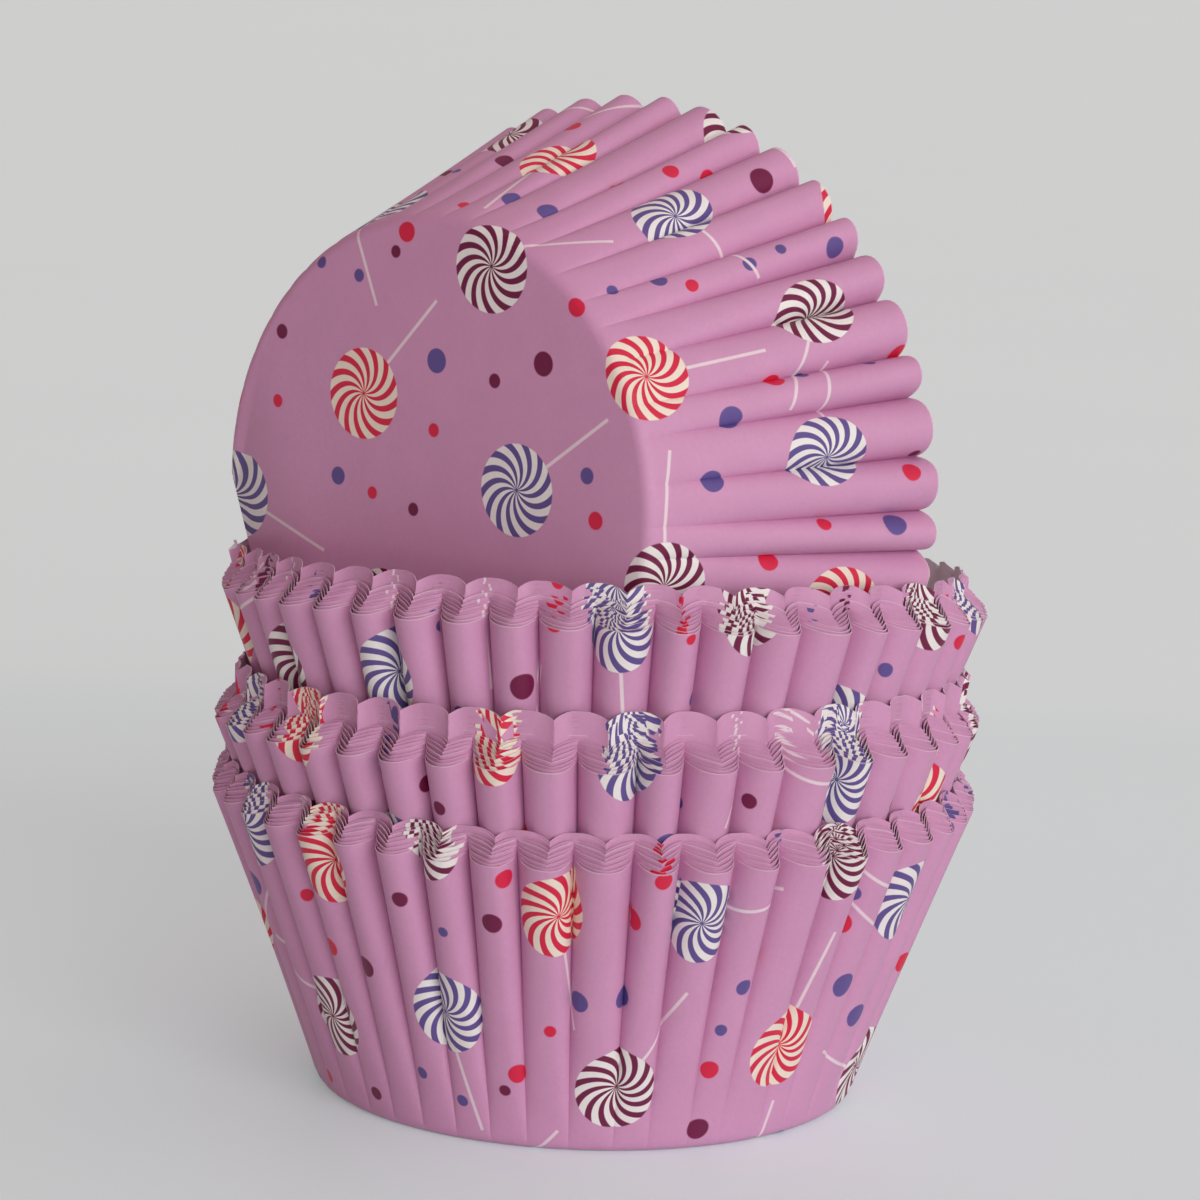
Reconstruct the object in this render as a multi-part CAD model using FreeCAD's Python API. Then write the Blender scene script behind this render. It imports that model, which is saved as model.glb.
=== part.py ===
"""Stack of paper cupcake liners.

Three upright nests of fluted paper liners stand one in the other, and one more liner lies on its
side in the top nest. Every liner is folded from one round sheet of thin paper: a flat round base,
and a wall whose flutes are nothing at the base and deepest at the rim. The same sheet reaches just
as far along a crest as along a valley, so the valleys end higher and the rim is scalloped.

Lengths are millimetres. +Z is up, +Y points away from the viewer, and the origin is the centre of
the base of the lowest liner.
"""

import FreeCAD, Part

import math
import os
from dataclasses import dataclass

from FreeCAD import Placement, Rotation, Vector

PARTS_FOLDER = "parts"

# Driving dimensions: alias, value, meaning
DIMENSIONS = (
    ("base_radius", 25.4, "flat round base, two inches across"),
    ("rim_radius", 36.05, "crests of the flutes at the rim"),
    ("wall_height", 28.1, "base to the crests at the rim"),
    ("flute_count", 45, "flutes round the wall"),
    ("flute_depth", 2.3, "crest to valley at the rim"),
    ("shoulder_drop", 0.45, "crest to shoulder at the rim, radially"),
    ("shoulder_share", 0.5, "shoulder place between crest and valley"),
    ("paper", 0.06, "paper thickness at the base"),
    ("wall_paper", 0.08, "paper thickness of the wall along a radius"),
    ("lower_count", 3, "liners of the lower nest"),
    ("lower_rise", 2.4, "outermost to innermost liner of the lower nest"),
    ("lower_turn", 0.0, "turn of the lower nest, degrees"),
    ("middle_count", 6, "liners of the middle nest"),
    ("middle_rise", 4.3, "outermost to innermost liner of the middle nest"),
    ("middle_turn", 0.0, "turn of the middle nest, degrees"),
    ("middle_lean_back", 2.5, "lean of the middle nest away from the viewer, degrees"),
    ("middle_lean_side", -0.9, "lean of the middle nest to the right, degrees"),
    ("upper_count", 5, "liners of the upper nest"),
    ("upper_rise", 3.2, "outermost to innermost liner of the upper nest"),
    ("upper_turn", 1.1, "turn of the upper nest, degrees"),
    ("upper_lean_back", 4.7, "lean of the upper nest away from the viewer, degrees"),
    ("upper_lean_side", 0.3, "lean of the upper nest to the right, degrees"),
    ("nest_clearance", 0.18, "free gap where one nest sits in the next"),
    ("tipped_heading", 50.4, "axis of the tipped liner, base to mouth, degrees from +X"),
    ("tipped_dip", 0.4, "fall of that axis towards the mouth, degrees"),
    ("tipped_side", -15.6, "base centre of the tipped liner along X"),
    ("tipped_depth", -15.0, "base centre of the tipped liner along Y"),
    ("tipped_turn", 0.0, "turn of the tipped liner about its axis, degrees"),
    ("tipped_clearance", 0.15, "free gap round the tipped liner in the upper nest"),
)

# Where the fit of one nest in the next is measured: from valley to shoulder along a rim, and from
# base to rim along a crest
RIM_SHARES = (0.0, 0.25, 0.5, 0.75, 1.0)
CREST_SHARES = [0.5 + 0.02 * index for index in range(26)]


@dataclass(frozen=True)
class LinerForm:
    """Sizes shared by every liner."""

    base_radius: float
    rim_radius: float
    wall_height: float
    flute_count: int
    flute_depth: float
    shoulder_drop: float
    shoulder_share: float
    paper: float
    wall_paper: float

    @property
    def step(self) -> float:
        """Angle of one flute in radians."""
        return 2 * math.pi / self.flute_count

    @property
    def valley_radius(self) -> float:
        """Radius of the valleys at the rim."""
        return self.rim_radius - self.flute_depth

    def rim_height(self, radius: float) -> float:
        """Height at which the sheet ends at this radius, its slant length being the crest's."""
        slant = math.hypot(self.rim_radius - self.base_radius, self.wall_height)
        return math.sqrt(slant ** 2 - (radius - self.base_radius) ** 2)

    def half_flute(self, rounded: bool) -> list:
        """Rim points from a crest to the next valley, as angle from the crest and radius."""
        crest = (0.0, self.rim_radius)
        shoulder = (self.shoulder_share * self.step / 2, self.rim_radius - self.shoulder_drop)
        valley = (self.step / 2, self.valley_radius)
        return [crest, shoulder, valley] if rounded else [shoulder, valley]


@dataclass(frozen=True)
class Liner:
    """One liner's form: a crest that is rounded or flat between its shoulders, and how it is pressed."""

    form: LinerForm
    rounded: bool
    press: object = None

    def point(self, radius: float, angle: float, height: float, inward: float, lift: float) -> Vector:
        """A point of the outside, or of the inside at the given distance from it."""
        if self.press is not None:
            radius = self.press(radius, angle, height)
        radius -= inward
        return Vector(radius * math.cos(angle), radius * math.sin(angle), height + lift)

    def base_ring(self, inward: float, lift: float) -> list:
        """One base point below each crest."""
        form = self.form
        return [self.point(form.base_radius, index * form.step, 0.0, inward, lift)
                for index in range(form.flute_count)]

    def rim_ring(self, inward: float) -> list:
        """Rim points of every flute, each list starting at the valley before its crest."""
        form = self.form
        half = form.half_flute(self.rounded)
        across = [(-angle, radius) for angle, radius in reversed(half) if angle > 0] + half
        return [[self.point(radius, index * form.step + angle, form.rim_height(radius), inward, 0.0)
                 for angle, radius in across]
                for index in range(form.flute_count)]

    def solid(self) -> Part.Shape:
        """The folded sheet as one closed solid of flat facets."""
        outside = wall_faces(self.base_ring(0.0, 0.0), self.rim_ring(0.0))
        inside_base = self.base_ring(self.form.wall_paper, self.form.paper)
        inside = wall_faces(inside_base, self.rim_ring(self.form.wall_paper))
        edge = edge_faces(self.rim_ring(0.0), self.rim_ring(self.form.wall_paper))
        faces = outside + inside + edge
        faces.append(polygon_face(self.base_ring(0.0, 0.0)))
        faces.append(polygon_face(inside_base))
        shell = Part.makeShell(faces)
        shell.sewShape()
        solid = Part.makeSolid(Part.Shell(shell.Faces))
        if solid.Volume < 0:
            solid.reverse()
        return solid


def polygon_face(points: list) -> Part.Face:
    """Flat face through a closed ring of points."""
    return Part.Face(Part.makePolygon(points + points[:1]))


def wall_faces(base: list, rim: list) -> list:
    """Facets of one side of the wall: each base point fans out to the rim points of its flute."""
    faces = []
    for index, flute in enumerate(rim):
        foot = base[index]
        for first, second in zip(flute, flute[1:]):
            faces.append(polygon_face([foot, first, second]))
        next_foot = base[(index + 1) % len(base)]
        faces.append(polygon_face([foot, flute[-1], next_foot]))
    return faces


def edge_faces(outside: list, inside: list) -> list:
    """Facets of the cut edge of the paper along the rim."""
    faces = []
    for outer, inner in zip(outside, inside):
        for index in range(len(outer) - 1):
            faces.append(polygon_face([outer[index], outer[index + 1], inner[index + 1]]))
            faces.append(polygon_face([outer[index], inner[index + 1], inner[index]]))
    return faces


def ray_radius(direction: float, first: tuple, second: tuple) -> float:
    """Distance from the axis to a straight line between two plan points, along a direction."""
    along_x, along_y = second[0] - first[0], second[1] - first[1]
    cross = first[0] * second[1] - first[1] * second[0]
    return cross / (math.cos(direction) * along_y - math.sin(direction) * along_x)


def wall_radius(form: LinerForm, rounded: bool, angle: float, height: float) -> float:
    """Radius of the outside of a wall at an angle from a crest and at a height."""
    angle = abs((angle + form.step / 2) % form.step - form.step / 2)
    plan = []
    for rim_angle, radius in form.half_flute(rounded):
        share = height / form.rim_height(radius)
        x = (1 - share) * form.base_radius + share * radius * math.cos(rim_angle)
        y = share * radius * math.sin(rim_angle)
        plan.append((x, y))
    if not rounded:
        plan.insert(0, (plan[0][0], 0.0))
    for first, second in zip(plan, plan[1:]):
        if angle <= math.atan2(second[1], second[0]):
            return ray_radius(angle, first, second)
    foot = plan[-1]
    middle = form.step / 2
    flat = foot[0] * math.cos(middle) + foot[1] * math.sin(middle)
    return flat / math.cos(middle - angle)


def lean(back: float, side: float, turn: float) -> Rotation:
    """Lean away from the viewer and to the right, after a turn about the upright axis."""
    leaning = Rotation(Vector(0, 1, 0), side).multiply(Rotation(Vector(1, 0, 0), -back))
    return leaning.multiply(Rotation(Vector(0, 0, 1), turn))


def inner_rim(form: LinerForm, share: float) -> list:
    """Inside points of the rim of a flat-crested liner, a share of the way from valley to shoulder."""
    points = []
    for left_valley, left_shoulder, right_shoulder, right_valley in Liner(form, False).rim_ring(form.wall_paper):
        points.append(left_valley + (left_shoulder - left_valley) * share)
        points.append(right_valley + (right_shoulder - right_valley) * share)
    return points


def tip_margins(form: LinerForm, cup: Placement, nest: Placement, share: float) -> list:
    """Free distance from points on a cup's inner rim to the wall of the nest in it."""
    margins = []
    to_nest = nest.inverse()
    for tip in inner_rim(form, share):
        place = cup.multVec(tip)
        local = to_nest.multVec(place)
        radius = math.hypot(local.x, local.y)
        wall = wall_radius(form, True, math.atan2(local.y, local.x), local.z)
        margins.append((place, radius - wall))
    return margins


def crest_margins(form: LinerForm, cup: Placement, nest: Placement) -> list:
    """Free distance from the nest's crests and shoulders to the inside of the cup's wall."""
    margins = []
    to_cup = cup.inverse()
    for index in range(form.flute_count):
        for angle, radius in form.half_flute(True)[:2]:
            for side in (-1, 1):
                turn = index * form.step
                foot = Vector(form.base_radius * math.cos(turn), form.base_radius * math.sin(turn), 0)
                turn += side * angle
                top = Vector(radius * math.cos(turn), radius * math.sin(turn), form.rim_height(radius))
                for share in CREST_SHARES:
                    local = to_cup.multVec(nest.multVec(foot + (top - foot) * share))
                    if local.z > form.rim_height(form.valley_radius):
                        break
                    local_angle = math.atan2(local.y, local.x)
                    wall = wall_radius(form, False, local_angle, local.z) - form.wall_paper
                    margins.append(wall - math.hypot(local.x, local.y))
    return margins


def seat_nest(form: LinerForm, cup: Placement, rotation: Rotation, clearance: float) -> Placement:
    """Lower a leaning nest into a cup until the free gap between them is the clearance."""

    def centred(depth: float) -> Placement:
        nest = Placement(cup.multVec(Vector(0, 0, depth)), rotation)
        for _ in range(4):
            shift = Vector(0, 0, 0)
            margins = tip_margins(form, cup, nest, 0.0)
            for place, margin in margins:
                outward = place - cup.multVec(Vector(0, 0, form.wall_height))
                outward.z = 0
                shift += outward.normalize() * (margin * 2 / len(margins))
            nest = Placement(nest.Base + shift, rotation)
        return nest

    low, high = 0.0, form.wall_height / 2
    while high - low > 0.001:
        depth = (low + high) / 2
        nest = centred(depth)
        rim = [margin for share in RIM_SHARES for _, margin in tip_margins(form, cup, nest, share)]
        if min(rim + crest_margins(form, cup, nest)) < clearance:
            low = depth
        else:
            high = depth
    return centred(high)


def tipped_rotation(heading: float, dip: float, turn: float) -> Rotation:
    """Rotation that lays a liner's axis down towards a heading."""
    lying = Rotation(Vector(0, 0, 1), heading).multiply(Rotation(Vector(0, 1, 0), 90 + dip))
    return lying.multiply(Rotation(Vector(0, 0, 1), turn))


def cone_radius(form: LinerForm, height: float) -> float:
    """Radius of the free cone inside a cup, which its valleys bound."""
    foot = (form.base_radius - form.wall_paper) * math.cos(form.step / 2)
    top = form.valley_radius - form.wall_paper
    return foot + (top - foot) * height / form.rim_height(form.valley_radius)


def seat_tipped(form: LinerForm, cup: Placement, size: dict) -> Placement:
    """Lower the tipped liner until its rim is the clearance above the cup's base."""
    rotation = tipped_rotation(size["tipped_heading"], size["tipped_dip"], size["tipped_turn"])
    place = Placement(Vector(size["tipped_side"], size["tipped_depth"], 0), rotation)
    liner = Liner(form, True)
    to_cup = cup.inverse()
    lowest = min(to_cup.multVec(place.multVec(point)).z for flute in liner.rim_ring(0.0) for point in flute)
    climb = form.paper + size["tipped_clearance"] - lowest
    up = cup.Rotation.multVec(Vector(0, 0, 1))
    return Placement(place.Base + Vector(0, 0, climb / up.z), rotation)


def press_into(form: LinerForm, cup: Placement, place: Placement, clearance: float):
    """Give the radius at which the tipped liner's wall stays inside the cup that holds it."""
    to_cup = cup.inverse()

    def free(radius: float, angle: float, height: float) -> bool:
        point = Vector(radius * math.cos(angle), radius * math.sin(angle), height)
        local = to_cup.multVec(place.multVec(point))
        return math.hypot(local.x, local.y) <= cone_radius(form, local.z) - clearance

    def pressed(radius: float, angle: float, height: float) -> float:
        if free(radius, angle, height):
            return radius
        low, high = radius / 2, radius
        while high - low > 0.0005:
            middle = (low + high) / 2
            if free(middle, angle, height):
                low = middle
            else:
                high = middle
        return low

    return pressed


def make_sheet(doc):
    """Spreadsheet of the driving dimensions."""
    sheet = doc.addObject("Spreadsheet::Sheet", "Dimensions")
    for row, (alias, value, meaning) in enumerate(DIMENSIONS, start=1):
        sheet.set(f"A{row}", meaning)
        sheet.set(f"B{row}", str(value))
        sheet.setAlias(f"B{row}", alias)
    doc.recompute()
    return sheet


def read_sizes(sheet) -> dict:
    """Sizes by alias, as the sheet holds them."""
    return {alias: float(sheet.get(alias)) for alias, _, _ in DIMENSIONS}


def add_liner(doc, label: str, shape: Part.Shape, place: Placement):
    """Add one liner to the document."""
    feature = doc.addObject("Part::Feature", label)
    feature.Label = label
    feature.Shape = shape
    feature.Placement = place
    return feature


def add_nest(doc, name: str, form: LinerForm, foot: Placement, count: int, rise: float) -> list:
    """Add a nest from its outermost liner, whose crests are rounded, to its innermost."""
    outermost = Liner(form, True).solid()
    inner = Liner(form, False).solid()
    features = []
    for index in range(count):
        place = foot.multiply(Placement(Vector(0, 0, rise * index / (count - 1)), Rotation()))
        shape = outermost if index == 0 else inner
        features.append(add_liner(doc, f"{name}_nest_liner_{index + 1}", shape.copy(), place))
    return features


def check_document(doc, features: list) -> None:
    """Stop when anything in the document failed or a liner isn't one valid solid."""
    for item in doc.Objects:
        if "Invalid" in item.State or "Error" in item.State:
            raise RuntimeError(f"{item.Label} failed: {item.State}")
    for feature in features:
        shape = feature.Shape
        if shape.isNull() or not shape.isValid() or len(shape.Solids) != 1:
            raise RuntimeError(f"{feature.Label} isn't one valid solid")


def main() -> None:
    """Build the stack and write one STEP file for each liner."""
    doc = FreeCAD.newDocument("CupcakeLiners")
    size = read_sizes(make_sheet(doc))
    form = LinerForm(size["base_radius"], size["rim_radius"], size["wall_height"], round(size["flute_count"]),
                     size["flute_depth"], size["shoulder_drop"], size["shoulder_share"], size["paper"],
                     size["wall_paper"])

    features = []
    foot = Placement(Vector(0, 0, 0), lean(0.0, 0.0, size["lower_turn"]))
    for name, above in (("lower", "middle"), ("middle", "upper"), ("upper", None)):
        rise = size[f"{name}_rise"]
        features += add_nest(doc, name, form, foot, round(size[f"{name}_count"]), rise)
        print(name, "nest foot", foot)
        cup = foot.multiply(Placement(Vector(0, 0, rise), Rotation()))
        if above:
            turned = lean(size[f"{above}_lean_back"], size[f"{above}_lean_side"], size[f"{above}_turn"])
            foot = seat_nest(form, cup, turned, size["nest_clearance"])

    place = seat_tipped(form, cup, size)
    press = press_into(form, cup, place, size["tipped_clearance"])
    features.append(add_liner(doc, "tipped_liner", Liner(form, True, press).solid(), place))
    print("tipped liner", place)

    doc.recompute()
    check_document(doc, features)
    os.makedirs(PARTS_FOLDER, exist_ok=True)
    for feature in features:
        feature.Shape.exportStep(f"{PARTS_FOLDER}/{feature.Label}.step")
        print(feature.Label, "volume", round(feature.Shape.Volume, 2), "faces", len(feature.Shape.Faces))


main()
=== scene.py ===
"""A stack of printed paper cupcake liners: three nests, and one liner lying in the top one.

Every liner is one sheet of thin greaseproof paper. It is modelled once as a base with a fluted wall,
and each copy is set where its nest holds it. Sizes are in millimetres until a mesh is placed.
"""

import logging
import math
from dataclasses import dataclass, field
from enum import Enum

import bpy
import numpy as np
from mathutils import Matrix, Vector


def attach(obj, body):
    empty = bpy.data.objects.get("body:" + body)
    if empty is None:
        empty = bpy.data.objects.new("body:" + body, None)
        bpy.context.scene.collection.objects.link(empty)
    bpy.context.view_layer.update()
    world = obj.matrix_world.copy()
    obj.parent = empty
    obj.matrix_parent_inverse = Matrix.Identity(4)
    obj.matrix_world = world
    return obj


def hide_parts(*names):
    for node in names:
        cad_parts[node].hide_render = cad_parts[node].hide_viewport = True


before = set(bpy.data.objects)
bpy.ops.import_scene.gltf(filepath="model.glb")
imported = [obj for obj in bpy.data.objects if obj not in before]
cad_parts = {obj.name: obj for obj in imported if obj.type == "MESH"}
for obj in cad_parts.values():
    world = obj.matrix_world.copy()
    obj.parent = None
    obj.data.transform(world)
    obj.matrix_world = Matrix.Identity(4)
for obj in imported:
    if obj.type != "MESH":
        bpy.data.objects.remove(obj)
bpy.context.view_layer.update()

log = logging.getLogger("liners")

MM = 0.001
UV_NAME = "flat_sheet"
REACH_NAME = "reach_to_rim"


class NestName(Enum):
    """The three upright nests, from the table up."""

    LOWER = "lower"
    MIDDLE = "middle"
    UPPER = "upper"


class Detail(Enum):
    """How finely a liner is modelled: half of a flute's columns, and the wall's rings."""

    OUTER = (8, (0.04, 0.09, 0.15, 0.22, 0.3, 0.38, 0.46, 0.54, 0.62, 0.7, 0.78, 0.85, 0.91, 0.96, 1.0))
    NESTED = (6, (0.06, 0.3, 0.6, 0.82, 0.94, 1.0))

    @property
    def half_columns(self) -> int:
        """Columns from a crest to a valley."""
        return self.value[0]

    @property
    def rings(self) -> tuple[float, ...]:
        """Shares of the wall's height at which it has a ring."""
        return self.value[1]


def srgb(red: int, green: int, blue: int) -> tuple[float, float, float, float]:
    """Turn a colour as it is seen on a screen into the linear colour of a shader.

    Args:
        red: red, 0 to 255.
        green: green, 0 to 255.
        blue: blue, 0 to 255.

    Returns:
        The linear colour with an alpha of 1.
    """
    shares = [channel / 255 for channel in (red, green, blue)]
    linear = [s / 12.92 if s <= 0.04045 else ((s + 0.055) / 1.055) ** 2.4 for s in shares]
    return (*linear, 1.0)


@dataclass
class Board:
    """A node tree that is being wired."""

    tree: bpy.types.NodeTree

    def add(self, kind: str, **settings: object) -> bpy.types.Node:
        """Add a node.

        Args:
            kind: the node's class without ShaderNode in front.
            settings: attributes set on the node.

        Returns:
            The new node.
        """
        node = self.tree.nodes.new("ShaderNode" + kind)
        for name, value in settings.items():
            setattr(node, name, value)
        return node

    def feed(self, socket: bpy.types.NodeSocket, value: object) -> None:
        """Link a socket to another one, or set its value.

        Args:
            socket: the input that is fed.
            value: an output socket, a number or a tuple.
        """
        if isinstance(value, bpy.types.NodeSocket):
            self.tree.links.new(value, socket)
        else:
            socket.default_value = value

    def math(self, operation: str, *values: object) -> bpy.types.NodeSocket:
        """Calculate with numbers.

        Args:
            operation: the Math node's operation.
            values: one to three inputs, sockets or numbers.

        Returns:
            The result's socket.
        """
        node = self.add("Math", operation=operation)
        for socket, value in zip(node.inputs, values):
            self.feed(socket, value)
        return node.outputs[0]

    def vector(self, operation: str, *values: object) -> bpy.types.NodeSocket:
        """Calculate with vectors.

        Args:
            operation: the Vector Math node's operation.
            values: its inputs, sockets or tuples.

        Returns:
            The resulting vector's socket.
        """
        node = self.add("VectorMath", operation=operation)
        for socket, value in zip(node.inputs, values):
            self.feed(socket, value)
        return node.outputs[0]

    def split(self, value: object) -> list[bpy.types.NodeSocket]:
        """Split a vector.

        Args:
            value: the vector's socket.

        Returns:
            Its three numbers' sockets.
        """
        node = self.add("SeparateXYZ")
        self.feed(node.inputs[0], value)
        return list(node.outputs)

    def join(self, *values: object) -> bpy.types.NodeSocket:
        """Join numbers to a vector.

        Args:
            values: up to three sockets or numbers.

        Returns:
            The vector's socket.
        """
        node = self.add("CombineXYZ")
        for socket, value in zip(node.inputs, values):
            self.feed(socket, value)
        return node.outputs[0]

    def blend(self, share: object, under: object, over: object) -> bpy.types.NodeSocket:
        """Lay one colour over another.

        Args:
            share: how much of the upper colour shows.
            under: the lower colour.
            over: the upper colour.

        Returns:
            The mixed colour's socket.
        """
        node = self.add("Mix", data_type="RGBA")
        self.feed(node.inputs[0], share)
        self.feed(node.inputs[6], under)
        self.feed(node.inputs[7], over)
        return node.outputs[2]

    def within(self, value: object, limit: object, softness: float) -> bpy.types.NodeSocket:
        """Mask the places where a distance is below a limit.

        Args:
            value: the distance.
            limit: the limit.
            softness: width of the ink's soft edge, in the same unit.

        Returns:
            The mask's socket, 1 inside.
        """
        room = self.math("SUBTRACT", limit, value)
        share = self.math("MULTIPLY_ADD", room, 1.0 / softness, 0.5)
        share.node.use_clamp = True
        return share

    def group(self, tree: bpy.types.NodeTree, **inputs: object) -> bpy.types.Node:
        """Place a node group.

        Args:
            tree: the group.
            inputs: values of its inputs by name, with _ for a space.

        Returns:
            The group's node.
        """
        node = self.add("Group", node_tree=tree)
        for name, value in inputs.items():
            self.feed(node.inputs[name.replace("_", " ")], value)
        return node


def new_group(name: str, inputs: dict[str, str], outputs: dict[str, str]) -> tuple[Board, dict, dict]:
    """Start a shader node group with named sockets.

    Args:
        name: the group's name.
        inputs: kind of each input by name: Float, Vector or Color.
        outputs: kind of each output by name.

    Returns:
        The group's board, the sockets that its inputs come from, and those that its outputs go to.
    """
    tree = bpy.data.node_groups.new(name, "ShaderNodeTree")
    for in_out, sockets in (("INPUT", inputs), ("OUTPUT", outputs)):
        for socket, kind in sockets.items():
            tree.interface.new_socket(name=socket, in_out=in_out, socket_type="NodeSocket" + kind)
    source = tree.nodes.new("NodeGroupInput")
    target = tree.nodes.new("NodeGroupOutput")
    return Board(tree), {s: source.outputs[s] for s in inputs}, {s: target.inputs[s] for s in outputs}


@dataclass
class BrickPlace:
    """Where a point lies in a layout of staggered rows, with three chance numbers for its cell."""

    across: bpy.types.NodeSocket
    along: bpy.types.NodeSocket
    chance: list


def brick_place(board: Board, source: dict) -> BrickPlace:
    """Find the cell of a point in staggered rows, and the point's place from the cell's motif.

    Args:
        board: the group that is being wired.
        source: its inputs Vector, Cell Width, Row Height, Seed and Wander.

    Returns:
        The place from the motif's centre and the cell's chance numbers.
    """
    x, y, _ = board.split(source["Vector"])
    rows = board.math("DIVIDE", y, source["Row Height"])
    row = board.math("FLOOR", rows)
    stagger = board.math("MULTIPLY", board.math("FLOORED_MODULO", row, 2.0), 0.5)
    cells = board.math("ADD", board.math("DIVIDE", x, source["Cell Width"]), stagger)
    cell = board.math("FLOOR", cells)
    noise = board.add("TexWhiteNoise", noise_dimensions="3D")
    board.feed(noise.inputs["Vector"], board.join(cell, row, source["Seed"]))
    chance = board.split(noise.outputs["Color"])
    local = []
    for place, index, size, shift in ((cells, cell, source["Cell Width"], chance[0]),
                                      (rows, row, source["Row Height"], chance[1])):
        centred = board.math("SUBTRACT", board.math("SUBTRACT", place, index), 0.5)
        stray = board.math("MULTIPLY", board.math("MULTIPLY_ADD", shift, 2.0, -1.0), source["Wander"])
        local.append(board.math("SUBTRACT", board.math("MULTIPLY", centred, size), stray))
    return BrickPlace(local[0], local[1], chance)


@dataclass(frozen=True)
class SweetsPrint:
    """Printed swirl sweets on thin sticks in staggered rows, a motif of the confectioner's trade."""

    radius: float = 4.15
    stripes: int = 13
    sweep: float = 11.5
    stick_length: float = 8.4
    stick_width: float = 0.32
    ink_edge: float = 0.1

    def group(self) -> bpy.types.NodeTree:
        """Wire the masks of one colour of sweets.

        Returns:
            The node group, with masks Disc, Stripe and Stick.
        """
        numbers = ("Cell Width", "Row Height", "Seed", "Wander")
        board, source, target = new_group(
            "swirl_sweets", {"Vector": "Vector", **dict.fromkeys(numbers, "Float")},
            {"Disc": "Float", "Stripe": "Float", "Stick": "Float"})
        place = brick_place(board, source)
        distance = board.vector("LENGTH", board.join(place.across, place.along, 0.0)).node.outputs["Value"]
        board.feed(target["Disc"], board.within(distance, self.radius, self.ink_edge))

        turn = board.math("MULTIPLY", place.chance[2], 2 * math.pi)
        angle = board.math("ARCTAN2", place.along, place.across)
        swept = board.math("MULTIPLY", board.math("POWER", distance, 1.25), self.sweep / self.radius ** 1.25)
        phase = board.math("ADD", board.math("MULTIPLY_ADD", angle, float(self.stripes), swept), turn)
        wave = board.math("SINE", phase)
        heart = board.math("DIVIDE", 0.5, board.math("MAXIMUM", distance, 0.1))
        share = board.math("MULTIPLY_ADD", wave, 3.2, board.math("ADD", heart, 0.1))
        share.node.use_clamp = True
        board.feed(target["Stripe"], share)

        cosine, sine = board.math("COSINE", turn), board.math("SINE", turn)
        outward = board.math("MULTIPLY_ADD", place.across, cosine, board.math("MULTIPLY", place.along, sine))
        aside = board.math("SUBTRACT", board.math("MULTIPLY", place.along, cosine),
                           board.math("MULTIPLY", place.across, sine))
        middle = self.radius + self.stick_length / 2
        beyond = board.math("ABSOLUTE", board.math("SUBTRACT", outward, middle))
        inside = board.within(beyond, self.stick_length / 2, self.ink_edge)
        thin = board.within(board.math("ABSOLUTE", aside), self.stick_width / 2, self.ink_edge)
        board.feed(target["Stick"], board.math("MULTIPLY", inside, thin))
        return board.tree


@dataclass(frozen=True)
class DotsPrint:
    """Printed dots of several sizes between the sweets."""

    smallest: float = 0.5
    largest: float = 1.25
    ink_edge: float = 0.12

    def group(self) -> bpy.types.NodeTree:
        """Wire the mask of one layout of dots.

        Returns:
            The node group, with the mask Dot and Pick, the chance number of the dot's colour.
        """
        numbers = ("Cell Width", "Row Height", "Seed", "Wander", "Share")
        board, source, target = new_group(
            "scattered_dots", {"Vector": "Vector", **dict.fromkeys(numbers, "Float")},
            {"Dot": "Float", "Pick": "Float"})
        place = brick_place(board, source)
        distance = board.vector("LENGTH", board.join(place.across, place.along, 0.0)).node.outputs["Value"]
        spread = board.math("FRACT", board.math("MULTIPLY", place.chance[0], 7.3))
        size = board.math("MULTIPLY_ADD", board.math("POWER", spread, 1.4), self.largest - self.smallest,
                          self.smallest)
        there = board.math("LESS_THAN", board.math("FRACT", board.math("MULTIPLY", place.chance[1], 5.7)),
                           source["Share"])
        dot = board.within(distance, size, self.ink_edge)
        board.feed(target["Dot"], board.math("MULTIPLY", dot, there))
        board.feed(target["Pick"], place.chance[2])
        return board.tree


@dataclass(frozen=True)
class Inks:
    """Colours of the print."""

    ground: tuple = srgb(217, 160, 198)
    white: tuple = srgb(248, 247, 243)
    cream: tuple = srgb(250, 240, 222)
    stick: tuple = srgb(243, 226, 233)
    crimson: tuple = srgb(224, 36, 74)
    plum: tuple = srgb(117, 20, 70)
    violet: tuple = srgb(100, 84, 152)


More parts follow.
